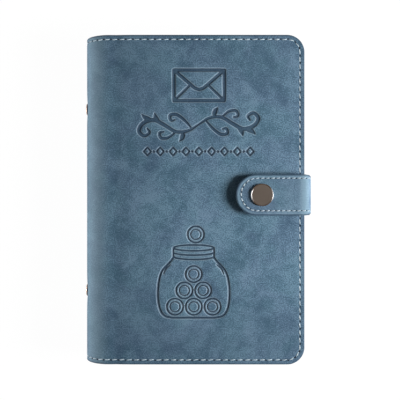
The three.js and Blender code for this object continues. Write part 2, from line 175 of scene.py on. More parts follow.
def cover_point(s, y, depth, side):
    """A point at a depth below the cover's outer face. The side is 1 on the front and -1 on the back."""
    x, up, slope = cover_xz(s)
    sunk = depth + gutter(x) + dimple(s, y)
    height = MIDDLE + side * (up - sunk * np.sin(slope))
    return np.stack([x + sunk * np.cos(slope), y + 0 * x, height], -1)


def corner_cut(over, radius):
    """How far a rounded corner sets its edge back at a distance past the corner's start."""
    return radius - np.sqrt(radius**2 - np.clip(over, 0, radius) ** 2)


def draw_in(x, end, cut, reach):
    """Draws a grid's last columns in, so that its edge follows the rounded corners."""
    start = end - reach
    return np.where(x > start, start + (x - start) * (reach - cut) / reach, x)


def edge_distance(s, y):
    """Distance from the cover's cut edge, which leaves out the spine."""
    dx = s - (COVER_LENGTH - CORNER)
    dy = np.abs(y) - (HALF_HEIGHT - CORNER)
    in_corner = (dx > 0) & (dy > 0)
    return np.where(in_corner, CORNER - np.hypot(dx, dy), CORNER - np.maximum(dx, dy))


def edge_drop(distance):
    """How far the leather rounds down at a distance from its cut edge."""
    return EDGE_DROP * np.clip(1 - distance / EDGE_ROUND, 0, 1) ** 2


def edge_depth(s, y):
    """The rounded cut edge and the channel that the stitches pull into the leather."""
    d = edge_distance(s, y)
    return edge_drop(d) + CHANNEL_DEPTH * hump(d, STITCH_INSET, CHANNEL_WIDTH)


def cover_grid(columns, rows):
    """The grid's s and y, with its edge drawn in round the corners."""
    s, y = np.meshgrid(columns, rows)
    cut = corner_cut(np.abs(y) - (HALF_HEIGHT - CORNER), CORNER)
    return draw_in(s, COVER_LENGTH, cut, CORNER_REACH), y


def strap_path(s):
    """X, z and outward slope of the strap's outer face at s."""
    s = np.asarray(s, float)
    a = np.clip(s / LOWER_BEND, None, math.pi / 2) - math.pi / 2
    b = np.clip((s - LOWER_ARC - STRAP_SIDE) / UPPER_BEND, 0, math.pi / 2)
    lower_x, lower_z = STRAP_OUTER_X - LOWER_BEND, STRAP_ROOT_Z + LOWER_BEND
    upper_x, upper_z = STRAP_OUTER_X - UPPER_BEND, STRAP_TOP - UPPER_BEND
    places = [s < 0, s < LOWER_ARC, s < LOWER_ARC + STRAP_SIDE]
    x = [lower_x + s, lower_x + LOWER_BEND * np.cos(a), STRAP_OUTER_X + 0 * s]
    z = [STRAP_ROOT_Z + 0 * s, lower_z + LOWER_BEND * np.sin(a), lower_z + s - LOWER_ARC]
    x = np.select(places, x, upper_x + UPPER_BEND * np.cos(b))
    z = np.select(places, z, upper_z + UPPER_BEND * np.sin(b))
    slope = np.select(places[:2], [0 * s - math.pi / 2, a], b)
    return x - np.clip(s - TAB_START, 0, None), z, slope


def strap_point(s, y, depth):
    x, z, slope = strap_path(s)
    return np.stack([x - depth * np.cos(slope), STRAP_Y + y + 0 * x, z - depth * np.sin(slope)], -1)


def strap_waist(s):
    """How far the strap's edges draw in where it bends over the front cover's edge."""
    return 0.9 * hump(s, TAB_START - 5.5, 3.2)


def strap_half(s):
    """Half the strap's width at s, which follows the round tip."""
    into_tip = np.clip(s - TIP_START, 0, STRAP_HALF)
    return np.sqrt(STRAP_HALF**2 - into_tip**2 + 1e-6) - strap_waist(s)


def strap_edge_distance(s, y):
    return STRAP_HALF - np.hypot(np.clip(s - TIP_START, 0, None), y) - strap_waist(s)


# Meshes


def add_object(name, data):
    obj = bpy.data.objects.new(name, data)
    bpy.context.scene.collection.objects.link(obj)
    return obj


def make_object(name, points, faces, material, smooth_angle=40):
    """An object from points in millimetres."""
    mesh = bpy.data.meshes.new(name)
    mesh.from_pydata([tuple(p) for p in to_frame(points)], [], faces)
    mesh.polygons.foreach_set("use_smooth", [True] * len(mesh.polygons))
    mesh.set_sharp_from_angle(angle=math.radians(smooth_angle))
    mesh.materials.append(material)
    return add_object(name, mesh)


def add_uv(obj, values):
    """Writes the flat layout of the sheet, in metres, as its UV map."""
    layer = obj.data.uv_layers.new(name="flat")
    corners = np.empty(len(obj.data.loops), int)
    obj.data.loops.foreach_get("vertex_index", corners)
    layer.data.foreach_set("uv", np.asarray(values, np.float32)[corners].ravel())


def add_attribute(obj, name, values):
    attribute = obj.data.attributes.new(name, "FLOAT", "POINT")
    attribute.data.foreach_set("value", np.asarray(values, np.float32))


def grid_faces(rows, columns, start, flip):
    index = start + np.arange(rows * columns).reshape(rows, columns)
    a, b = index[:-1, :-1].ravel(), index[:-1, 1:].ravel()
    c, d = index[1:, 1:].ravel(), index[1:, :-1].ravel()
    order = (a, d, c, b) if flip else (a, b, c, d)
    return np.stack(order, 1).tolist()


def tube_faces(rings, sides, start=0):
    """Faces between rings of points that follow each other, with a cap at each end."""
    faces = []
    for ring in range(start, start + (rings - 1) * sides, sides):
        for k in range(sides):
            a, b = ring + k, ring + (k + 1) % sides
            faces.append([a, b, b + sides, a + sides])
    cap = list(range(start, start + sides))
    return faces + [cap[::-1], [corner + (rings - 1) * sides for corner in cap]]


class Piece:
    """Gathers the points and faces of one piece made of several parts."""

    def __init__(self):
        self.points = []
        self.faces = []

    def grid(self, points, flip=False):
        rows, columns = points.shape[:2]
        self.faces += grid_faces(rows, columns, len(self.points), flip)
        self.points += points.reshape(-1, 3).tolist()

    def sheet(self, outer, inner, flip=False, backed=True):
        """A sheet between two grids of points. One that isn't backed has walls but no inner face."""
        start = len(self.points)
        rows, columns = outer.shape[:2]
        index = np.arange(rows * columns).reshape(rows, columns)
        rim = np.concatenate([index[0], index[1:, -1], index[-1, -2::-1], index[-2:0:-1, 0]])
        self.grid(outer, flip)
        if backed:
            self.grid(inner, not flip)
        else:
            self.points += inner.reshape(-1, 3)[rim].tolist()
        lower = index.size + (rim if backed else np.arange(len(rim)))
        walls = start + np.stack([np.roll(rim, -1), rim, lower, np.roll(lower, -1)], 1)
        self.faces += (walls[:, ::-1] if flip else walls).tolist()
        return rim

    def prism(self, cells, loops, low, high):
        """Flat cells with a face above and below, and walls along closed loops."""
        for cell in cells:
            for z, order in ((high, 1), (low, -1)):
                start = len(self.points)
                self.points += [(x, y, z) for x, y in cell]
                self.faces.append(list(range(start, start + len(cell)))[::order])
        for loop in loops:
            start = len(self.points)
            self.points += [(x, y, z) for x, y in loop for z in (low, high)]
            for i in range(len(loop)):
                a, b = start + 2 * i, start + 2 * ((i + 1) % len(loop))
                self.faces.append([a, b, b + 1, a + 1])

    def tube(self, centres, radius):
        """A round bar along a line of centres, closed at both ends."""
        sides = 16
        centres = np.asarray(centres, float)
        along = unit(np.gradient(centres, axis=0))
        side = unit(np.cross(along, (0, 1, 0) if abs(along[0][1]) < 0.9 else (1, 0, 0)))
        up = np.cross(along, side)
        angle = 2 * math.pi * np.arange(sides) / sides
        ring = side[:, None] * np.cos(angle)[:, None] + up[:, None] * np.sin(angle)[:, None]
        self.faces += tube_faces(len(centres), sides, len(self.points))
        self.points += (centres[:, None] + radius * ring).reshape(-1, 3).tolist()

    def build(self, name, material, smooth_angle=40):
        return make_object(name, self.points, self.faces, material, smooth_angle)


def sheet_object(name, outer, inner, flat, material, flip=False, backed=True):
    piece = Piece()
    rim = piece.sheet(outer, inner, flip, backed)
    obj = piece.build(name, material)
    flat = flat.reshape(-1, 2)
    add_uv(obj, np.concatenate([flat, flat if backed else flat[rim]]))
    return obj


def lathe(name, profile, axis_point, axis, material, sides=64):
    """Turns (radius, height) pairs about an axis through a point."""
    side_a = Vector(axis).orthogonal().normalized()
    side_b = Vector(axis).cross(side_a).normalized()
    angle = 2 * math.pi * np.arange(sides) / sides
    ring = np.outer(np.cos(angle), side_a) + np.outer(np.sin(angle), side_b)
    radius, height = np.array(profile, float).T[:, :, None, None]
    points = np.array(axis_point) + height * np.array(axis) + radius * ring
    faces = tube_faces(len(profile), sides)
    return make_object(name, points.reshape(-1, 3), faces, material, 30)


# Materials


def srgb(red, green, blue):
    """An 0 to 255 screen colour as Blender's linear colour."""

    def linear(value):
        value /= 255
        return value / 12.92 if value <= 0.04045 else ((value + 0.055) / 1.055) ** 2.4

    return (linear(red), linear(green), linear(blue), 1)


def darker(colour, share):
    return tuple(c * share for c in colour[:3]) + (1,)


class Nodes:
    """A short way to build the nodes in front of the shader of a material or of the world."""

    def __init__(self, name, owner=None, shader="Principled BSDF", **sockets):
        self.material = owner or bpy.data.materials.new(name)
        self.material.use_nodes = True
        self.tree = self.material.node_tree
        self.shader = self.tree.nodes[shader]
        for key, value in sockets.items():
            self.set(key.replace("_", " "), value)

    def node(self, kind, inputs=None, **settings):
        node = self.tree.nodes.new("ShaderNode" + kind)
        for key, value in settings.items():
            setattr(node, key, value)
        for key, value in (inputs or {}).items():
            self.put(node.inputs[key], value)
        return node

    def put(self, socket, value):
        if isinstance(value, bpy.types.NodeSocket):
            self.tree.links.new(value, socket)
        else:
            socket.default_value = value

    def set(self, name, value):
        self.put(self.shader.inputs[name], value)

    def place(self):
        return self.node("TexCoord").outputs["Object"]

    def attribute(self, name):
        return self.node("Attribute", attribute_name=name).outputs["Fac"]

    def noise(self, where, scale, detail=2.0, roughness=0.5, distortion=0.0):
        inputs = {"Vector": where, "Scale": scale, "Detail": detail, "Roughness": roughness}
        inputs["Distortion"] = distortion
        return self.node("TexNoise", inputs).outputs["Fac"]

    def math(self, operation, a, b=0.0, clamp=False):
        node = self.node("Math", {0: a, 1: b}, operation=operation, use_clamp=clamp)
        return node.outputs[0]

    def add(self, a, b):
        return self.math("ADD", a, b)

    def less(self, a, b, clamp=False):
        return self.math("SUBTRACT", a, b, clamp)

    def times(self, a, b):
        return self.math("MULTIPLY", a, b)

    def ramp(self, fac, stops):
        node = self.node("ValToRGB", {"Fac": fac})
        elements = node.color_ramp.elements
        for element, (place, colour) in zip(elements[:2], (stops[0], stops[-1])):
            element.position = place
            element.color = colour
        for place, colour in stops[1:-1]:
            elements.new(place).color = colour
        return node.outputs["Color"]

    def mix(self, fac, a, b):
        node = self.node("Mix", data_type="RGBA")
        for name, value in (("Factor", fac), ("A", a), ("B", b)):
            self.put(node.inputs[name], value)
        return node.outputs["Result"]

    def bump(self, height, distance, strength):
        inputs = {"Height": height, "Distance": distance, "Strength": strength}
        self.set("Normal", self.node("Bump", inputs).outputs["Normal"])


TINT_COOL = srgb(98, 112, 150)
TINT_TEAL = srgb(92, 148, 158)
# The pale colour of the painted highlight
PAINTED_HIGHLIGHT = srgb(146, 177, 195)
# NAVY darkens the pressed lines, and it is the colour of the painted shade and of the darkened cut edge
NAVY = srgb(38, 58, 78)
# Painted shade at the foot of a pressed line's walls
PAINTED_GROOVE_SHADE = srgb(20, 34, 52)
# Painted highlight on a pressed line's upper flank
PAINTED_FLANK_HIGHLIGHT = srgb(190, 212, 228)


def leather_material(name, dark, middle, light, grain=1.0):
    """Blotchy brushed faux leather: soft clouds, pale creases and a fine speckled nap."""
    m = Nodes(name, Specular_IOR_Level=0.22)
    flat = m.node("UVMap", uv_map="flat").outputs["UV"]
    clouds = m.noise(flat, 36, 4.0, 0.55, 0.7)
    patches = m.noise(flat, 110, 3.0, 0.6, 0.8)
    nap = m.noise(flat, 1500, 2.0, 0.65)
    creases = m.math("ABSOLUTE", m.less(m.noise(flat, 62, 3.0, 0.55, 1.4), 0.5))
    creases = m.less(1.0, m.times(creases, 30), clamp=True)
    creases = m.times(creases, m.noise(flat, 90, 1.0))
    tone = m.add(m.times(clouds, 0.52), m.times(patches, 0.48))
    tone = m.add(tone, m.times(m.less(nap, 0.5), 1.25 * grain))
    tone = m.add(tone, m.times(creases, 0.12))
    colour = m.ramp(tone, [(0.34, dark), (0.51, middle), (0.67, light)])
    hue = m.ramp(m.noise(flat, 58, 2.0, 0.5, 0.4), [(0.38, TINT_COOL), (0.62, TINT_TEAL)])
    colour = m.mix(0.09, colour, hue)
    # Painted highlight where the leather rolls over the spine and where the strap bends
    colour = m.mix(m.times(m.attribute("pull"), 0.7), colour, PAINTED_HIGHLIGHT)
    # Painted shade, and the cut edge's paint with a painted contact shade, darken the leather towards
    # navy
    colour = m.mix(m.times(m.attribute("shade_and_edge_paint"), 0.34), colour, NAVY)
    # A pressed line has a painted highlight on its upper flank and painted shade at its foot
    press = m.attribute("press")
    above = m.less(1.0, press)
    foot = m.times(m.times(m.math("POWER", press, 3.0), above), 9.5)
    flank = m.times(m.times(press, m.math("POWER", above, 3.0)), 9.5)
    colour = m.mix(m.times(flank, 0.34), colour, PAINTED_FLANK_HIGHLIGHT)
    colour = m.mix(m.times(m.math("POWER", press, 2.0), 0.75), colour, NAVY)
    colour = m.mix(m.times(foot, 0.8), colour, PAINTED_GROOVE_SHADE)
    m.set("Base Color", colour)
    m.set("Roughness", m.less(0.68, m.times(press, 0.2)))
    m.bump(m.add(nap, m.times(patches, 0.6)), 0.00012, 0.5)
    return m.material


def metal_material(name, colour, roughness):
    """Plated metal with a faint brushed unevenness."""
    m = Nodes(name, Metallic=1.0)
    rough = m.noise(m.place(), 900, 3.0)
    m.set("Roughness", m.add(roughness - 0.05, m.times(rough, 0.1)))
    m.set("Base Color", m.mix(m.noise(m.place(), 160, 2.0), darker(colour, 0.8), colour))
    return m.material


def card_material(name, dark, light):
    """Kraft card: fibres, flecks and a slightly uneven tone."""
    m = Nodes(name, Roughness=0.88)
    place = m.place()
    fibre = m.noise(place, 1500, 4.0, 0.7)
    cloud = m.noise(place, 70, 2.0)
    fleck = m.math("GREATER_THAN", m.noise(place, 2400, 1.0), 0.68)
    tone = m.add(m.times(fibre, 0.6), m.times(cloud, 0.4))
    tone = m.add(tone, m.times(m.less(m.attribute("tone"), 0.5), 0.12))
    colour = m.ramp(tone, [(0.35, dark), (0.65, light)])
    m.set("Base Color", m.mix(m.times(fleck, 0.35), colour, srgb(120, 92, 60)))
    m.bump(fibre, 0.00006, 0.4)
    return m.material


def thread_material():
    """Waxed pale blue thread with the dark lines of its twist."""
    m = Nodes("thread", Roughness=0.55, Sheen_Weight=0.2)
    tone = m.noise(m.place(), 2600, 2.0)
    m.set("Base Color", m.ramp(tone, [(0.3, srgb(160, 181, 193)), (0.6, srgb(218, 231, 237))]))
    return m.material


def plain_material(name, colour, roughness):
    m = Nodes(name, Roughness=roughness)
    tone = m.noise(m.place(), 900, 3.0)
    m.set("Base Color", m.mix(tone, darker(colour, 0.75), colour))
    m.bump(tone, 0.00008, 0.4)
    return m.material


LEATHER_COVER = leather_material(
    "leather_cover", srgb(57, 84, 105), srgb(85, 114, 135), srgb(114, 143, 164)
)
LEATHER_STRAP = leather_material(
    "leather_strap", srgb(66, 92, 112), srgb(87, 113, 134), srgb(110, 136, 156), 0.75
)
LINING_MATERIAL = leather_material(
    "lining", srgb(50, 68, 84), srgb(62, 82, 99), srgb(74, 95, 112), 0.4
)
BOARD_MATERIAL = plain_material("board", srgb(128, 116, 98), 0.9)
STEEL = metal_material("nickel_plate", srgb(196, 198, 200), 0.2)
DARK_NICKEL = metal_material("dark_nickel", srgb(106, 96, 88), 0.34)
AGED_BRASS = metal_material("aged_brass", srgb(188, 160, 142), 0.26)
# The dark collar round a rivet's head is painted shade
PAINTED_COLLAR_SHADE = metal_material("collar_shade_metal", srgb(46, 42, 44), 0.4)
CARD = card_material("kraft_card", srgb(186, 158, 118), srgb(214, 190, 152))
THREAD = thread_material()
EDGE_PAINT = plain_material("edge_paint", srgb(52, 74, 94), 0.6)
# Each needle hole is a flat dark disc of painted shade
HOLE_SHADE = plain_material("needle_hole_shade", srgb(20, 30, 42), 0.9)

# The debossed design: strokes of (centre line, half widths), in x from the spine and y

TOP_CENTRE = (66.5, 65.9)
SCROLL_CENTRE = (66.2, 43.4)
BEADS_CENTRE = (66.2, 27.8)
SAVINGS_CENTRE = (63.3, -42.4)
PRESS_DEPTH = 0.5
PRESS_SOFT = 0.38


def curve(points, steps=14):
    """A smooth line through a few points, as a dense polyline."""
    p = np.array(points, float)
    p = np.vstack([2 * p[0] - p[1], p, 2 * p[-1] - p[-2]])
    t = np.linspace(0, 1, steps, endpoint=False)[:, None]
    parts = []
    for a, b, c, d in zip(p[:-3], p[1:-2], p[2:-1], p[3:]):
        bend = 2 * b + (c - a) * t + (2 * a - 5 * b + 4 * c - d) * t**2
        parts.append(0.5 * (bend + (3 * b - a - 3 * c + d) * t**3))
    return np.vstack(parts + [p[-2:-1]])


def arc(centre, rx, ry, start, end, count):
    angle = np.radians(np.linspace(start, end, count))
    return np.stack([centre[0] + rx * np.cos(angle), centre[1] + ry * np.sin(angle)], 1)


def brush(line, thick, thin):
    """A stroke that swells in its middle, as a brush leaves it."""
    t = np.linspace(0, 1, len(line))
    return line, thin + (thick - thin) * np.sin(math.pi * t) ** 0.7


def pen(line, half):
    return np.asarray(line, float), np.full(len(line), half)


def envelope_strokes(centre):
    """A closed envelope with its flap."""
    w, h = 14.5, 8.8
    box = [(-w, -h), (w, -h), (w, h), (-w, h), (-w, -h)]
    flap = [(-w, h), (-2.5, -1.6), (0, -2.4), (2.5, -1.6), (w, h)]
    left = [(-w, -h), (-5.2, 0.2)]
    right = [(w, -h), (5.2, 0.2)]
    lines = ((box, 0.95), (flap, 0.95), (left, 0.7), (right, 0.7))
    return [pen(np.array(line) + centre, half) for line, half in lines]


def leaf(x, y, angle, length):
    """A leaf as one stroke that swells and closes."""
    t = np.linspace(0, 1, 14)
    bow = 0.12 * length * np.sin(math.pi * t)
    a = math.radians(angle)
    px = x + length * t * math.cos(a) - bow * math.sin(a)
    py = y + length * t * math.sin(a) + bow * math.cos(a)
    return np.stack([px, py], 1), 0.15 + 1.2 * np.sin(math.pi * t**0.8) ** 1.1


def scroll_strokes(centre):
    """A leafy scroll: a waved stem with curled ends, the same again turned half round."""
    stem = [(0, 0), (6, 3.6), (13, 4.2), (20, 0.2), (26, -2.6), (32, -0.6)]
    stem += [(34.4, 3.6), (31.6, 6.6), (28.4, 4.8), (29.6, 2.4)]
    curl = [(13, 4.2), (17.6, 7.6), (21.6, 7.8), (22.6, 4.9), (20, 4.2)]
    under = [(4, 2.4), (8, -2.2), (12.6, -5.6), (16.4, -5.2), (16, -2.4), (13.6, -2.6)]
    leaves = ((9, 4.6, 68, 5.6), (22.4, -1.2, -62, 6.4), (27, -2.8, -28, 6.6))
    strokes = []
    for side in (1, -1):
        for line, thick, thin in ((stem, 1.15, 0.45), (curl, 0.85, 0.35), (under, 0.95, 0.35)):
            strokes.append(brush(curve(np.array(line) * side + centre), thick, thin))
        for line, half in (leaf(*values) for values in leaves):
            strokes.append((line * side + centre, half))
    return strokes


def bead_strokes(centre):
    """A row of lozenges with a bead between each two."""
    strokes = []
    count, pitch = 9, 7.4
    for i in range(count):
        place = np.array(centre) + ((i - (count - 1) / 2) * pitch, 0)
        lozenge = np.array([(-2.1, 0), (0, 2.3), (2.1, 0), (0, -2.3), (-2.1, 0)])
        strokes.append(pen(lozenge + place, 0.48))
        if i < count - 1:
            strokes.append(pen(np.array([(pitch / 2, -0.01), (pitch / 2, 0.01)]) + place, 0.72))
    return strokes


def savings_strokes(centre):
    """A glass jar that fills with coins, one more coin above its open mouth."""
    wall = [(0, -25.6), (13.5, -25.4), (18.4, -22.8), (20.4, -16)]
    wall += [(20.4, -7), (18.4, 1), (13.6, 6.6), (11.4, 9.4)]
    shine = [(17.4, -0.6), (15.9, 2.6), (13.2, 5.0)]
    neck = [(11.7, 9.6), (11.7, 14.6)]
    rim = 14.6
    strokes = []
    for side in ((-1, 1), (1, 1)):
        strokes.append(pen(curve(np.array(wall) * side), 0.56))
        strokes.append(brush(curve(np.array(shine) * side), 0.42, 0.2))
        strokes.append(pen(np.array(neck) * side, 0.46))
    for y, wide in ((9.6, 11.6), (12.1, 11.8), (rim, 11.5)):
        strokes.append(pen(arc((0, y), wide, 1.7, 180, 360, 30), 0.46))
    strokes.append(pen(arc((0, rim), 11.5, 1.7, 0, 180, 30), 0.46))
    coins = [(-10.8, -19.3), (0, -19.3), (10.8, -19.3), (-5.4, -9.9), (5.4, -9.9), (0, -0.5), (1.2, 22.4)]
    for coin in coins:
        strokes.append(pen(arc(coin, 4.7, 4.7, 0, 360, 36), 0.44))
        strokes.append(pen(arc(coin, 2.9, 2.9, 0, 360, 24), 0.28))
    return [(line + centre, half) for line, half in strokes]


DESIGN = (
    envelope_strokes(TOP_CENTRE)
    + scroll_strokes(SCROLL_CENTRE)
    + bead_strokes(BEADS_CENTRE)
    + savings_strokes(SAVINGS_CENTRE)
)


def press_values(x, y):
    """0 on flat leather and 1 in a stroke, for arrays of x from the spine and y."""
    press = np.zeros(x.shape)
    columns, rows = x[0], y[:, 0]
    for line, half in DESIGN:
        for p, q, wide, next_wide in zip(line[:-1], line[1:], half[:-1], half[1:]):
            reach = max(wide, next_wide) + 2 * PRESS_SOFT
            low, high = np.minimum(p, q) - reach, np.maximum(p, q) + reach
            c0, c1 = np.searchsorted(columns, [low[0], high[0]])
            r0, r1 = np.searchsorted(rows, [low[1], high[1]])
            if c0 == c1 or r0 == r1:
                continue
            gx, gy = x[r0:r1, c0:c1], y[r0:r1, c0:c1]
            d = q - p
            t = np.clip(((gx - p[0]) * d[0] + (gy - p[1]) * d[1]) / max(d @ d, 1e-9), 0, 1)
            far = np.hypot(gx - p[0] - t * d[0], gy - p[1] - t * d[1])
            width = wide + (next_wide - wide) * t
            value = smooth((width + PRESS_SOFT - far) / (2 * PRESS_SOFT))
            press[r0:r1, c0:c1] = np.maximum(press[r0:r1, c0:c1], value)
    return press


# The cover

corner_angles = np.radians(np.arange(0, 91, 5))
corner_rows = HALF_HEIGHT - CORNER + CORNER * np.sin(corner_angles)
edge_columns = COVER_LENGTH - np.array(
    [14, 12, 10, 8.5, 7, 5.6, 4.6, 3.8, 3.2, 2.7, 2.2, 1.6, 1.0, 0.6, 0.3, 0.1, 0]
)
DESIGN_X = (29.0, 102.0)
DESIGN_ROWS = ((-69.6, -14.0), (20.0, 77.0))
FINE = 0.4
RIVET_ROWS = (RIVET_Y - 9, RIVET_Y + 9)


def steps(low, high, size):
    return np.linspace(low, high, max(int(round((high - low) / size)), 1), endpoint=False)


def graded(places, sizes):
    """Grid lines from place to place, with a step size for each stretch."""
    return np.concatenate([steps(*part) for part in zip(places[:-1], places[1:], sizes)])


def columns_over(places, sizes):
    return np.concatenate([graded([*places, edge_columns[0]], sizes), edge_columns])


def rows_over(places, sizes):
    rows = graded([-corner_rows[0], *places, corner_rows[0]], sizes)
    return np.concatenate([-corner_rows[::-1], rows[1:], corner_rows])


DESIGN_S = [s_of_x(x) for x in DESIGN_X]
fine_columns = columns_over([0, PANEL_START, *DESIGN_S], [0.9, 1.2, FINE, 2])
fine_rows = rows_over([*DESIGN_ROWS[0], *DESIGN_ROWS[1]], [2, FINE, 2, FINE, 2])
plain_columns = columns_over([0, PANEL_START, s_of_x(25)], [0.9, 1.0, 3.5])
plain_rows = rows_over([-RIVET_ROWS[1], -RIVET_ROWS[0], *RIVET_ROWS], [5, 1, 5, 1, 5])


def painted_shade(s, y):
    """Painted shade, 1 at its darkest: at the head and foot of the cover, beside the gutter and along the
    margin by the fore edge.
    """
    x = cover_xz(s)[0]
    ends = smooth((np.abs(y) - 38) / 52) * np.where(y < 0, 1.0, 0.5)
    ends *= 0.3 + 0.7 * smooth((x - 8) / 9)
    edge = 0.55 * smooth((x - 100) / 15) * smooth((3.0 - edge_distance(s, y)) / 1.6)
    return np.clip(ends + edge + 0.6 * smooth((58 - x) / 26) * smooth((x - 10) / 7), 0, 1.2)


def dark_rim(distance):
    """How dark the cut edge is at a distance from it: its edge paint, with a painted contact shade."""
    return 2 * smooth((1.2 - distance) / 0.8)


def spine_highlight(s):
    """How much a painted highlight pales the leather where it rolls over the spine."""
    x = cover_xz(s)[0]
    return 0.52 * smooth((16.5 - x) / 9) * smooth(x / 2.5)


BEND_START = (0.5, 0, 22.1)
BEND_END = (7.75, 0, 30.8)


def bend(obj, body, next_body, start, end):
    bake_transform(obj)


def hold(obj, side):
    """The back rides on the back cover. The front only has its place baked into its mesh."""
    if side > 0:
        bend(obj, "back_cover", "front_cover", BEND_START, BEND_END)
    else:
        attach(obj, "back_cover")


def cover_leather(name, side, columns, rows, node):
    s, y = cover_grid(columns, rows)
    x = cover_xz(s)[0]
    press = np.zeros(s.shape)
    if side > 0:
        press = press_values(np.broadcast_to(x[len(rows) // 2], x.shape), y)
    outer = cover_point(s, y, edge_depth(s, y) + PRESS_DEPTH * press, side)
    inner = cover_point(s, y, LEATHER, side)
    flat = np.stack([side * s, y], -1) * MM
    obj = sheet_object(name, outer, inner, flat, LEATHER_COVER, flip=side < 0, backed=False)
    # Painted shade in the gutter's crease, at the ends and beside the gutter, then the cut edge's paint
    # with a painted contact shade
    shade_and_edge_paint = np.maximum(0.4 * gutter(x) / GUTTER_DEPTH, PAINTED_SHADE_SHARE * painted_shade(s, y))
    shade_and_edge_paint = np.maximum(shade_and_edge_paint, dark_rim(edge_distance(s, y)))
    on_walls = np.zeros(2 * (len(rows) + len(columns)) - 4)
    for attribute, values in (("press", press), ("shade_and_edge_paint", shade_and_edge_paint), ("pull", spine_highlight(s))):
        add_attribute(obj, attribute, np.concatenate([values.ravel(), on_walls]))
    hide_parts(node)
    hold(obj, side)


def lining_depth(x, extra):
    """Depth of the lining, which rises over the stiffener's edge and follows the gutter before it."""
    risen = smooth((x - JOGGLE[0]) / (JOGGLE[1] - JOGGLE[0]))
    depth = LINING_AT_SPINE + (LINING_AT_PANEL - LINING_AT_SPINE) * risen
    return depth - gutter(x) * risen + extra


def lining_inside(x):
    """Depth of the lining's inner face, which the gutter hardly presses in."""
    risen = smooth((x - JOGGLE[0]) / (JOGGLE[1] - JOGGLE[0]))
    return lining_depth(x, LINING) - 0.65 * gutter(x) * (1 - risen)


def cover_lining(name, side, node):
    s, y = cover_grid(plain_columns, plain_rows)
    x = cover_xz(s)[0]
    outer = cover_point(s, y, lining_depth(x, -0.2 * gutter(x)), side)
    inner = cover_point(s, y, lining_inside(x), side)
    flat = np.stack([side * s, y + 300], -1) * MM
    obj = sheet_object(name, outer, inner, flat, LINING_MATERIAL, flip=side < 0)
    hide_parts(node)
    hold(obj, side)


cover_leather("cover_leather_front", 1, fine_columns, fine_rows, "leather_front")
cover_leather("cover_leather_back", -1, plain_columns, plain_rows, "leather_back_and_spine")
cover_lining("cover_lining_front", 1, "lining_front")
cover_lining("cover_lining_back", -1, "lining_back_and_spine")

# The pockets inside the front cover: name, edge towards the spine, top, and depths of both faces

POCKETS = []
for pocket_name in ("slip_pocket", "card_slot_1", "card_slot_2"):
    pocket_low, pocket_high, _ = box_of(pocket_name)
    face_depths = (THICKNESS - pocket_high[2], THICKNESS - pocket_low[2])
    POCKETS.append((pocket_name, pocket_low[0], pocket_high[1], *face_depths))
HEM = 4.2
HEM_STEP = 0.16
POCKET_PITCH = 3.1


def hem_thin(s, y, edge, top):
    """How much thinner a pocket is away from its turned edges."""
    beside = cover_xz(s)[0] - edge
    if top < HALF_HEIGHT - 1:
        beside = np.minimum(beside, top - y)
    return HEM_STEP * smooth((beside - HEM) / 0.7)


def pocket(name, edge, top, outside, inside):
    """One pocket sheet with a turned edge. A card slot's upper corner is round like the cover's."""
    start = s_of_x(edge)
    columns = np.concatenate([
        start + np.array([0, 0.12, 0.4, 1, 2.2, 3.4, HEM, HEM + 0.35, HEM + 0.7, HEM + 1.5]),
        steps(start + 8, edge_columns[0], 4), edge_columns,
    ])
    upper = top - CORNER + CORNER * np.sin(corner_angles)
    near_top = top - np.array([HEM + 1.5, HEM + 0.7, HEM + 0.35, HEM])
    rows = np.concatenate([
        -corner_rows[::-1], steps(-corner_rows[0], top - CORNER, 4)[1:], upper, near_top,
    ])
    s, y = np.meshgrid(columns, np.unique(np.round(rows, 3)))
    cut = corner_cut(np.maximum(-y - corner_rows[0], y - top + CORNER), CORNER)
    s = draw_in(s, COVER_LENGTH, cut, CORNER_REACH)
    lip = 0.12 * np.clip(1 - (cover_xz(s)[0] - edge) / 0.4, 0, 1) ** 2
    outer = cover_point(s, y, outside, 1)
    inner = cover_point(s, y, inside - hem_thin(s, y, edge, top) - lip, 1)
    flat = np.stack([s, y + 600 + 200 * outside], -1) * MM
    obj = sheet_object(name + "_sheet", outer, inner, flat, LINING_MATERIAL)
    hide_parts(name)
    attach(obj, "front_cover")


for pocket_values in POCKETS:
    pocket(*pocket_values)


def front_inside(s, y):
    """Depth of the innermost sheet at a place inside the front cover."""
    x = cover_xz(s)[0]
    depth = lining_inside(x)
    for _, edge, top, _, inside in POCKETS:
        reached = (x > edge) & (y < top)
        depth = np.where(reached, inside - hem_thin(s, y, edge, top), depth)
    return depth


# Stitching


def always(t):
    return True


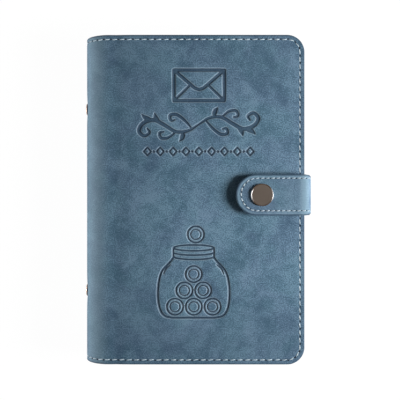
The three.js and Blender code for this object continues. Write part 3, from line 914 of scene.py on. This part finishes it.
def stitch_row(name, surface, path, length, pitch, keep=always, lift=0.31, radius=0.25, hole=1.0):
    """One piece of thread for each stitch, and between each two a dark disc of painted shade for the
    needle hole.
    """
    count = int(round(length / pitch))
    pitch = length / count
    rings, sides, hole_sides = 7, 6, 8
    u = np.linspace(0, 1, rings)
    t = (np.arange(count)[:, None] + STITCH_GAP + (1 - 2 * STITCH_GAP) * u) * pitch
    a, b = path(t)
    rise = np.sin(math.pi * u) ** 0.6
    centre = surface(a, b, 0.14 - lift * rise)
    normal = surface(a, b, 0.14 - lift * rise - 1) - centre
    across = unit(np.cross(normal, unit(np.gradient(centre, axis=1))))
    centre = centre + across * (STITCH_SLANT * (u - 0.5))[:, None]
    angle = (2 * math.pi * np.arange(sides) / sides)[:, None]
    ring = across[:, :, None] * np.cos(angle) + normal[:, :, None] * np.sin(angle)
    points = centre[:, :, None] + ring * (radius * (0.5 + 0.5 * rise))[:, None, None]
    chosen = [i for i in range(count) if keep(float(t[i, rings // 2]))]
    faces = []
    for i in range(len(chosen)):
        for face in tube_faces(rings, sides, i * rings * sides):
            faces.append(face[:1] + face[:0:-1])
    thread = make_object(name, points[chosen].reshape(-1, 3), faces, THREAD, 60)
    t = np.array([place for place in np.arange(count + 1) * pitch if keep(float(place))])
    a, b = path(t)
    ahead_a, ahead_b = path(t + 0.2)
    turn = np.arctan2(ahead_b - b, ahead_a - a)[:, None]
    angle = 2 * math.pi * np.arange(hole_sides) / hole_sides
    along = 0.62 * hole * np.cos(angle)
    aside = 0.2 + 0.42 * hole * np.sin(angle)
    forward = a[:, None] + along * np.cos(turn) - aside * np.sin(turn)
    sideways = b[:, None] + along * np.sin(turn) + aside * np.cos(turn)
    forward, sideways = (np.hstack([v.mean(1, keepdims=True), v]) for v in (forward, sideways))
    fans = []
    for middle in range(0, len(t) * (hole_sides + 1), hole_sides + 1):
        fans += [[middle, middle + 1 + k, middle + 1 + (k + 1) % hole_sides] for k in range(hole_sides)]
    # The needle holes are flat dark discs of painted shade just above the surface
    rims = surface(forward, sideways, -0.03).reshape(-1, 3)
    holes = make_object(name + "_holes", rims, fans, HOLE_SHADE, 60)
    return thread, holes


def cover_stitch_path(t, inset=STITCH_INSET):
    """Along the top edge, round the corners, down the fore edge and back along the bottom."""
    run = COVER_LENGTH - CORNER
    radius = CORNER - inset
    quarter = radius * math.pi / 2
    tall = 2 * (HALF_HEIGHT - CORNER)
    ends = np.cumsum([run, quarter, tall, quarter])
    first, second = (np.clip((t - end) / radius, 0, math.pi / 2) for end in ends[[0, 2]])
    places = [t < ends[0], t <= ends[1], t <= ends[2], t <= ends[3]]
    s = [t, run + radius * np.sin(first), run + radius + 0 * t, run + radius * np.cos(second)]
    y = [HALF_HEIGHT - inset + 0 * t, tall / 2 + radius * np.cos(first)]
    y += [tall / 2 - (t - ends[1]), -tall / 2 - radius * np.sin(second)]
    return np.select(places, s, run - (t - ends[3])), np.select(places, y, inset - HALF_HEIGHT)


def edge_length(inset):
    return 2 * (COVER_LENGTH + HALF_HEIGHT - 2 * CORNER) + math.pi * (CORNER - inset)


def cover_stitches(side):
    name = "front" if side > 0 else "back"

    def outside(s, y, depth):
        return cover_point(s, y, edge_depth(s, y) + depth, side)

    def inside(s, y, depth):
        below = front_inside(s, y) if side > 0 else lining_inside(cover_xz(s)[0])
        return cover_point(s, y, below - depth, side)

    for place, surface in (("outside", outside), ("inside", inside)):
        length = edge_length(STITCH_INSET)
        for obj in stitch_row(
            f"stitches_{name}_{place}", surface, cover_stitch_path, length, STITCH_PITCH
        ):
            hold(obj, side)


def edge_paint(side):
    """The painted cut edge, which hides the board between leather and lining."""
    t = np.linspace(0, edge_length(0), 520)
    s, y = cover_stitch_path(t, 0.0)
    ahead_s, ahead_y = cover_stitch_path(t + 0.05, 0.0)
    forward = unit(np.stack([ahead_s - s, ahead_y - y], -1))
    below = lining_depth(cover_xz(s)[0], 0)
    top = 0.55
    rows = []
    for share, out in ((0, 0.0), (0.05, 0.05), (0.3, 0.11), (0.7, 0.11), (0.95, 0.05), (1, 0.0)):
        depth = top + share * (below + 0.3 - top)
        rows.append(cover_point(s - forward[:, 1] * out, y + forward[:, 0] * out, depth, side))
    piece = Piece()
    piece.grid(np.array(rows), flip=side < 0)
    obj = piece.build("cut_edge_front" if side > 0 else "cut_edge_back", EDGE_PAINT)
    hold(obj, side)


for cover_side in (1, -1):
    cover_stitches(cover_side)
for cover_side in (1, -1):
    edge_paint(cover_side)


def pocket_stitches(index):
    """A row along the pocket's open edge, and one along the top of a card slot."""
    name, edge, top, _, inside = POCKETS[index]
    from_edge = STITCH_INSET + 1.2
    across = s_of_x(edge + 2.6)

    def surface(s, y, depth):
        return cover_point(s, y, inside - depth, 1)

    def beside(t):
        return across + 0 * t, from_edge - HALF_HEIGHT + t

    def above(t):
        return across + t, top - 2.6 + 0 * t

    tall = min(top, HALF_HEIGHT) + HALF_HEIGHT - 2 * from_edge
    runs = [("side", beside, tall - (0.4 if index else 0))]
    if index:
        runs.append(("top", above, COVER_LENGTH - 5.5 - across))
    for place, run, length in runs:
        for obj in stitch_row(
            f"{name}_stitches_{place}", surface, run, length, POCKET_PITCH, always, 0.2, 0.2, 0.5
        ):
            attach(obj, "front_cover")


for pocket_index in range(len(POCKETS)):
    pocket_stitches(pocket_index)

# The strap


def strap_depth(s, y):
    """The rounded cut edge and the stitch channel, which runs nearer to the upper edge."""
    off_row = np.hypot(np.clip(s - TIP_START, 0, None), y - STRAP_SKEW / 2)
    channel = CHANNEL_DEPTH * hump(off_row, STRAP_ROW, CHANNEL_WIDTH)
    return edge_drop(strap_edge_distance(s, y)) + channel


def strap_highlight(s, y):
    """How much a painted highlight pales the leather where it bends over the cover's edge and outside the
    stitches.
    """
    margin = 0.38 * hump(strap_edge_distance(s, y), 1.25, 0.55)
    return np.maximum(0.9 * hump(s, TAB_START + 0.1, 2.4), margin)


def strap_sheet(name, s_values, depths, material, nodes, slot):
    across = np.sin(np.linspace(-math.pi / 2, math.pi / 2, 41))
    s, v = np.meshgrid(s_values, across)
    y = v * strap_half(s)
    shaped = slot == "leather"
    outer = strap_point(s, y, depths[0] + (strap_depth(s, y) if shaped else 0))
    inner = strap_point(s, y, depths[1])
    flat = np.stack([s + 400, y], -1) * MM
    obj = sheet_object(name, outer, inner, flat, material, flip=True)
    if shaped:
        # Painted highlight at the strap's bend and along its margin
        add_attribute(obj, "pull", np.tile(strap_highlight(s, y).ravel(), 2))
        # The cut edge's paint, with a painted contact shade
        add_attribute(obj, "shade_and_edge_paint", np.tile(dark_rim(strap_edge_distance(s, y)).ravel(), 2))
    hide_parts(*nodes)
    return obj


def bend_lower(obj):
    start = (STRAP_OUTER_X - LOWER_BEND, 0, STRAP_ROOT_Z)
    end = (STRAP_OUTER_X, 0, STRAP_ROOT_Z + LOWER_BEND * 1.3)
    bend(obj, "back_cover", "strap_side", start, end)


def bend_upper(obj):
    start = (STRAP_OUTER_X, 0, STRAP_TOP - UPPER_BEND * 1.2)
    end = (STRAP_OUTER_X - UPPER_BEND * 1.2, 0, STRAP_TOP)
    bend(obj, "strap_side", "strap_tab", start, end)


LOWER_S = np.concatenate([
    [STRAP_ROOT_X - (STRAP_OUTER_X - LOWER_BEND)],
    steps(-2, LOWER_ARC, 0.4),
    np.linspace(LOWER_ARC, STRAP_MIDDLE, 14),
])
tip_angles = np.radians(np.arange(0, 91, 4))
UPPER_S = np.concatenate([
    graded([STRAP_MIDDLE, TAB_START - UPPER_ARC, TAB_START, TIP_START], [1.0, 0.35, 1.0]),
    TIP_START + STRAP_HALF * np.sin(tip_angles),
])
STRAP_LAYERS = (
    ("leather", STRAP_LEATHER, LEATHER_STRAP), ("lining", STRAP_LINING, LINING_MATERIAL)
)
for part_name, part_s, stretches, bend_sheet in (
    ("lower", LOWER_S, ("root", "side"), bend_lower), ("upper", UPPER_S, ("tab",), bend_upper)
):
    for layer, layer_depths, layer_material in STRAP_LAYERS:
        layer_nodes = [f"strap_{stretch}_{layer}" for stretch in stretches]
        bend_sheet(strap_sheet(
            f"strap_{part_name}_{layer}", part_s, layer_depths, layer_material, layer_nodes, layer
        ))


def strap_stitch_path(t):
    """From the lower bend up one side, round the tip and back down the other side."""
    past_tip = t - STRAP_RUN - math.pi * STRAP_ROW
    turn = np.clip((t - STRAP_RUN) / STRAP_ROW, 0, math.pi)
    s = np.where(t < STRAP_RUN, 1 + t, 1 + STRAP_RUN + STRAP_ROW * np.sin(turn))
    s = np.where(past_tip > 0, 1 + STRAP_RUN - past_tip, s)
    return s, STRAP_SKEW / 2 - STRAP_ROW * np.cos(turn)


def strap_stitches():
    def outside(s, y, depth):
        return strap_point(s, y, strap_depth(s, y) + depth)

    def inside(s, y, depth):
        return strap_point(s, y, STRAP_LINING[1] - depth)

    def lower(t):
        return float(strap_stitch_path(np.array(t))[0]) < STRAP_MIDDLE

    def upper(t):
        return not lower(t)

    length = 2 * STRAP_RUN + math.pi * STRAP_ROW
    for place, surface in (("outside", outside), ("inside", inside)):
        for part, keep, bend_part in (("lower", lower, bend_lower), ("upper", upper, bend_upper)):
            for obj in stitch_row(
                f"strap_stitches_{part}_{place}", surface, strap_stitch_path,
                length, STRAP_PITCH, keep, 0.28, 0.25, 0.7,
            ):
                bend_part(obj)


strap_stitches()

# Snap and rivets

cap_low, cap_high, cap_middle = box_of("snap_cap")
SNAP = (cap_middle[0], cap_middle[1], 0)
CAP_RADIUS = (cap_high[0] - cap_low[0]) / 2
CAP_TOP = cap_high[2]
CAP_FOOT = cap_low[2]
TAB_FACE = STRAP_TOP + 0.05
RIM_ROLL = 0.28


def rim_material():
    """A polished rim with a painted highlight at two sides, brown between them."""
    m = Nodes("polished_rim", Metallic=1.0, Roughness=0.36)
    place = m.place()
    x = m.node("SeparateXYZ", {"Vector": place}).outputs["X"]
    aside = m.math("ABSOLUTE", m.less(x, (SPINE_X + SNAP[0]) * MM))
    # Painted highlight: paler the further the rim lies to the left or right of the snap's middle
    painted_glint = m.times(aside, 1 / (CAP_RADIUS * MM))
    painted_glint = m.add(painted_glint, m.times(m.noise(place, 700, 2.0), 0.16))
    m.set("Base Color", m.ramp(painted_glint, [(0.8, srgb(92, 76, 64)), (1.02, srgb(176, 174, 173))]))
    return m.material


def snap_cap():
    """A pressed cap: its sunk face is dark and its rolled rim is polished."""
    r = CAP_RADIUS * 0.97
    rolled = arc((r - RIM_ROLL, CAP_TOP - RIM_ROLL), RIM_ROLL, RIM_ROLL, -60, 180, 17)
    rim = [(1.6, CAP_FOOT), (1.6, TAB_FACE), (r - RIM_ROLL, TAB_FACE), *rolled]
    rim += [(r - 2 * RIM_ROLL - 0.02, CAP_TOP - 0.7), (0.01, CAP_TOP - 0.7)]
    ring = lathe("snap_cap_rim", rim, SNAP, (0, 0, 1), rim_material())
    edge = r - 1.7 * RIM_ROLL
    face = [(edge, CAP_TOP - 0.75), (edge, CAP_TOP - 0.3)]
    for share in np.arange(7, -1, -1) / 8:
        face.append((edge * share + 0.005, CAP_TOP - 0.3 + 0.12 * (1 - share**2)))
    plate = lathe("snap_cap_face", face, SNAP, (0, 0, 1), DARK_NICKEL)
    for obj in (ring, plate):
        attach(obj, "strap_tab")
    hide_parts("snap_cap")


snap_cap()


def spine_rivet(node):
    """A domed rivet through the spine, with a dark collar round its head that is painted shade."""
    low, high, middle = box_of(node)
    place = (0, middle[1], MIDDLE)
    radius = (high[1] - low[1]) / 2
    head = -low[0]
    end = high[0]
    foot = -DIMPLE_DEPTH - 0.1
    dome = arc((radius - head * 0.9, 0.05), head * 0.9, head - 0.05, 80, 0, 9)
    profile = [(0.01, head), *dome, (radius, foot), (1.9, foot), (1.9, 0.7 - end)]
    profile += [(2.7, 0.6 - end), (2.6, -end), (0.01, -end)]
    rivet = lathe(node + "_smooth", profile, place, (-1, 0, 0), AGED_BRASS, sides=40)
    # The collar is painted shade where the head meets the leather
    collar = [(radius - 0.3, 0.22), (radius + 0.05, 0.16), (radius + 0.12, -0.1)]
    collar += [(radius + 0.12, foot), (radius - 0.3, foot)]
    ring = lathe(node + "_collar", collar, place, (-1, 0, 0), PAINTED_COLLAR_SHADE, sides=40)
    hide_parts(node)
    for obj in (rivet, ring):
        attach(obj, "back_cover")


spine_rivet("spine_rivet_upper")
spine_rivet("spine_rivet_lower")

# The envelopes

ENVELOPES = 12
MARGIN_PITCH = 1.0
MARGIN_HALF = 0.25
MARGIN = 5.0
FOLD_START = 4.0
FOLD_LENGTH = 14.0
BODY_HALF = 0.9
EDGE_HALF = 0.4
PAPER = 0.26
SEAM = 13.0
SEAM_STEP = 0.07
PAPER_CORNER = 3.0
NOTCH = 11.0
NOTCH_START = 50
HOLE_RADIUS = 3.0
HOLE_REACH = 4.6
TAB_REACH = 6.0
TAB_HEIGHT = 15.0
TAB_CORNER = 2.0
TAB_UNDER = 3.5
TAB_HALF = 0.24
PAPER_TOP = box_of("envelope_01")[1][1]
BODY_LOW = box_of("envelope_01")[0][2]
BODY_PITCH = (box_of("envelope_12")[1][2] - BODY_LOW + 0.15) / ENVELOPES
RING_YS = [box_of(f"half_ring_front_{number}")[2][1] for number in range(1, 7)]


def margin_cells(left, right, hole_x):
    """The punched margin as flat cells, and the loops of its outline and holes."""
    cells, loops = [], []
    reach = HOLE_REACH
    for y in RING_YS:
        corners = [(right, y - reach), (right, y + reach), (left, y + reach), (left, y - reach)]
        angles = [math.atan2(b - y, a - hole_x) for a, b in corners]
        angles = sorted(set(angles + [2 * math.pi * k / 28 - math.pi for k in range(28)]))
        inner, outer = [], []
        for a in angles:
            c, d = math.cos(a), math.sin(a)
            inner.append((hole_x + HOLE_RADIUS * c, y + HOLE_RADIUS * d))
            wide = (right - hole_x) / c if c > 0 else (left - hole_x) / min(c, -1e-9)
            far = min(wide, reach / max(abs(d), 1e-9))
            outer.append((hole_x + far * c, y + far * d))
        for i in range(len(angles)):
            j = (i + 1) % len(angles)
            cells.append([inner[i], outer[i], outer[j], inner[j]])
        loops.append(inner[::-1])
    edges = sorted(y + side * reach for y in RING_YS for side in (-1, 1))
    for a, b in zip(edges[1:-1:2], edges[2::2]):
        cells.append([(left, a), (right, a), (right, b), (left, b)])
    r = PAPER_CORNER
    upper = [*arc((left + r, PAPER_TOP - r), r, r, 90, 180, 7)]
    lower = [(x, -y) for x, y in upper[::-1]]
    cells.append([(right, edges[-1]), (right, PAPER_TOP)] + upper + [(left, edges[-1])])
    cells.append([(right, -PAPER_TOP), (right, edges[0]), (left, edges[0])] + lower)
    loops.append([(right, -PAPER_TOP), (right, PAPER_TOP)] + upper + lower)
    return cells, loops


def envelope_grid(start, right):
    """X and y of an envelope's body, with a notched top, round corners and a fine fore edge."""
    tall = PAPER_TOP
    notch_x = (start + FOLD_LENGTH + right) / 2
    arcs = notch_x - NOTCH * np.cos(np.radians(np.arange(0, 181, 12)))
    from_edge = np.array([16, 13.6, 12.9, 12.2, 9, 6, 3.6, 2, 1.2, 0.7, 0.4, 0.25, 0.12, 0.04, 0])
    columns = np.concatenate([
        graded([start, start + FOLD_LENGTH, arcs[0]], [1.4, 7]),
        arcs, steps(arcs[-1] + 3, right - 17, 7), right - from_edge,
    ])
    rows = np.concatenate([
        (from_edge - tall)[::-1], graded([20 - tall, NOTCH_START], [8]),
        graded([NOTCH_START, tall - 4], [5]), tall - np.array([4, 3, 2.2, 1.4, 0.9, 0.5, 0.2, 0]),
    ])
    x, y = np.meshgrid(columns, rows)
    cut = corner_cut(np.abs(y) - (tall - PAPER_CORNER), PAPER_CORNER)
    x = draw_in(x, right, cut, 6)
    notch = np.sqrt(np.clip(NOTCH**2 - (x - notch_x) ** 2, 0, None))
    raised = NOTCH_START + (y - NOTCH_START) * (tall - notch - NOTCH_START) / (tall - NOTCH_START)
    return x, np.where(y > NOTCH_START, raised, y)


def envelope(number):
    """Two walls of kraft paper that part at the top, folded at the foot and fore edge."""
    node = f"envelope_{number:02d}"
    low, high, _ = box_of(node)
    index = number - 1
    left = low[0]
    right = high[0] - TAB_REACH
    hole_x = left + MARGIN
    start = hole_x + FOLD_START
    margin_z = MIDDLE + (index - (ENVELOPES - 1) / 2) * MARGIN_PITCH
    body_z = BODY_LOW + (index + 0.5) * BODY_PITCH
    x, y = envelope_grid(start, right)
    dx, dy = x - (right - PAPER_CORNER), -y - (PAPER_TOP - PAPER_CORNER)
    inset = PAPER_CORNER - np.where((dx > 0) & (dy > 0), np.hypot(dx, dy), np.maximum(dx, dy))
    folded = np.clip(inset / EDGE_HALF, 0, 1)
    half = EDGE_HALF * np.sqrt(1 - (1 - folded) ** 2)
    half += (BODY_HALF - EDGE_HALF) * smooth((inset - EDGE_HALF) / 17)
    half += SEAM_STEP * smooth((SEAM - inset) / 0.7) * folded
    mouth = smooth((y - 55) / 28)
    half *= 1 - 0.2 * mouth * (1 + np.sin(x / 8 + 1.9 * index))
    fanned = np.clip((x - start) / FOLD_LENGTH, 0, 1)
    half = np.minimum(half, MARGIN_HALF + (BODY_HALF - MARGIN_HALF) * fanned)
    centre = margin_z + (body_z - margin_z) * smooth(fanned)
    piece = Piece()
    cells, loops = margin_cells(left, start, hole_x)
    piece.prism(cells, loops, margin_z - MARGIN_HALF, margin_z + MARGIN_HALF)
    for side in (1, -1):
        outer = np.stack([x, y, centre + side * half], -1)
        inner = np.stack([x, y, centre + side * np.maximum(half - PAPER, 0.01)], -1)
        piece.sheet(outer, inner, flip=side < 0)
    room = 2 * (PAPER_TOP - PAPER_CORNER) - TAB_HEIGHT
    foot = PAPER_TOP - PAPER_CORNER - TAB_HEIGHT - index * room / (ENVELOPES - 1)
    head = foot + TAB_HEIGHT
    r = TAB_CORNER
    tip = right + TAB_REACH - r
    tab = [(right - TAB_UNDER, foot), *arc((tip, foot + r), r, r, -90, 0, 7)]
    tab += [*arc((tip, head - r), r, r, 0, 90, 7), (right - TAB_UNDER, head)]
    piece.prism([tab], [tab], body_z - TAB_HALF, body_z + TAB_HALF)
    obj = piece.build(node + "_paper", CARD)
    tone = index * 5 % ENVELOPES / ENVELOPES
    add_attribute(obj, "tone", np.full(len(obj.data.vertices), tone))
    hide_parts(node)
    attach(obj, "back_cover")


for envelope_number in range(1, ENVELOPES + 1):
    envelope(envelope_number)

# The rings

RING_RADIUS = 10.5
WIRE_RADIUS = 1.3
RING_FOOT = math.radians(152)
PEG_RADIUS = 0.6
PEG_LENGTH = 0.8


def half_ring(name, side, number):
    """A half ring with its foot, and on the back the peg at its tip."""
    node = f"half_ring_{name}_{number}"
    low, high, middle = box_of(node)
    y = middle[1]
    centre_x = high[0] - WIRE_RADIUS - RING_RADIUS
    angles = np.linspace(0.05 / RING_RADIUS, RING_FOOT, 44)
    x = centre_x + RING_RADIUS * np.cos(angles)
    z = MIDDLE + side * RING_RADIUS * np.sin(angles)
    piece = Piece()
    piece.tube(np.stack([x, y + 0 * x, z], 1), WIRE_RADIUS)
    piece.tube([(low[0], y, z[-1]), (x[-1] + WIRE_RADIUS / 2, y, z[-1])], WIRE_RADIUS)
    if side < 0:
        piece.tube([(x[0], y, MIDDLE - 1), (x[0], y, MIDDLE + PEG_LENGTH - 0.2)], PEG_RADIUS)
    obj = piece.build(node + "_wire", STEEL, 50)
    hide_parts(node)
    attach(obj, "rings_" + name)


for ring_number in range(1, 7):
    half_ring("front", 1, ring_number)
    half_ring("back", -1, ring_number)

# Nodes that keep their shape and get a material

PAINT = {
    "stiffener": BOARD_MATERIAL,
    "ring_": STEEL,
    "rivet_spacer": STEEL,
    "snap_": STEEL,
}

for node_name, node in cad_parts.items():
    for start, material in PAINT.items():
        if node_name.startswith(start):
            node.data.materials.clear()
            node.data.materials.append(material)
            node.data.polygons.foreach_set("use_smooth", [True] * len(node.data.polygons))
            node.data.set_sharp_from_angle(angle=math.radians(30))

# Floor, light and camera

FLOOR_GLOW = 0.95
FLOOR_HALF = 6000
FLOOR_Z = -0.2
SKY_IN_METAL = 0.8
SKY_LIGHT = 0.028
WHITE = (1, 1, 1, 1)


def seen(m, in_metal):
    """1 where the camera sees a surface itself or through glass, and a share of it in metal."""
    path = m.node("LightPath").outputs
    straight = m.math("MAXIMUM", path["Is Camera Ray"], path["Is Transmission Ray"])
    return m.math("MAXIMUM", straight, m.times(path["Is Glossy Ray"], in_metal))


def floor():
    """A white floor that glows where it is seen and keeps the object's shadow."""
    m = Nodes("floor", Roughness=0.9, Base_Color=(0.9, 0.9, 0.9, 1))
    glow = m.node("Emission", {"Color": WHITE, "Strength": 1.03})
    sockets = {0: m.times(seen(m, 1.0), FLOOR_GLOW), 1: m.shader.outputs[0], 2: glow.outputs[0]}
    mix = m.node("MixShader", sockets)
    m.put(m.tree.nodes["Material Output"].inputs["Surface"], mix.outputs[0])
    corners = [(-1, -1), (1, -1), (1, 1), (-1, 1)]
    points = [(x * FLOOR_HALF - SPINE_X, y * FLOOR_HALF, FLOOR_Z) for x, y in corners]
    make_object("floor", points, [(0, 1, 2, 3)], m.material)


floor()


def area_light(name, place, aim, size, power):
    data = bpy.data.lights.new(name, "AREA")
    data.shape = "RECTANGLE"
    data.size, data.size_y = size
    data.energy = power
    obj = add_object(name, data)
    obj.location = place
    obj.rotation_mode = "QUATERNION"
    obj.rotation_quaternion = (Vector(aim) - Vector(place)).to_track_quat("-Z", "Y")


area_light("key_right", (0.56, -0.06, 0.34), (0.03, 0, 0.03), (0.26, 0.26), 7.1)
area_light("strip_left", (-0.6, 0.0, 0.045), (-0.06, 0, 0.02), (0.5, 0.04), 3.0)
area_light("overhead", (0.0, 0.5, 1.1), (0, 0, 0), (0.8, 0.8), 0.25)
area_light("strip_right", (0.6, 0.05, 0.13), (0.06, 0, 0.03), (0.5, 0.1), 0.2)

# The sky is white where it is seen, paler grey in the metal and dim as a light
world = bpy.data.worlds.new("world")
bpy.context.scene.world = world
sky = Nodes("sky", world, "Background", Color=WHITE)
sky.set("Strength", sky.add(sky.times(seen(sky, SKY_IN_METAL), 1 - SKY_LIGHT), SKY_LIGHT))

# The camera stands this far above the front cover, whose plane the photo's frame spans by this width
CAMERA_HEIGHT = 400.0
FRAME_WIDTH = 230.4
CAMERA_X = 67.1
CAMERA_Y = -0.2
camera_data = bpy.data.cameras.new("camera")
camera_data.sensor_width = 36
camera_data.lens = camera_data.sensor_width * CAMERA_HEIGHT / FRAME_WIDTH
camera = add_object("camera", camera_data)
camera.location = tuple(to_frame([CAMERA_X, CAMERA_Y, THICKNESS + CAMERA_HEIGHT]))
bpy.context.scene.camera = camera
bpy.context.scene.view_settings.view_transform = "Standard"
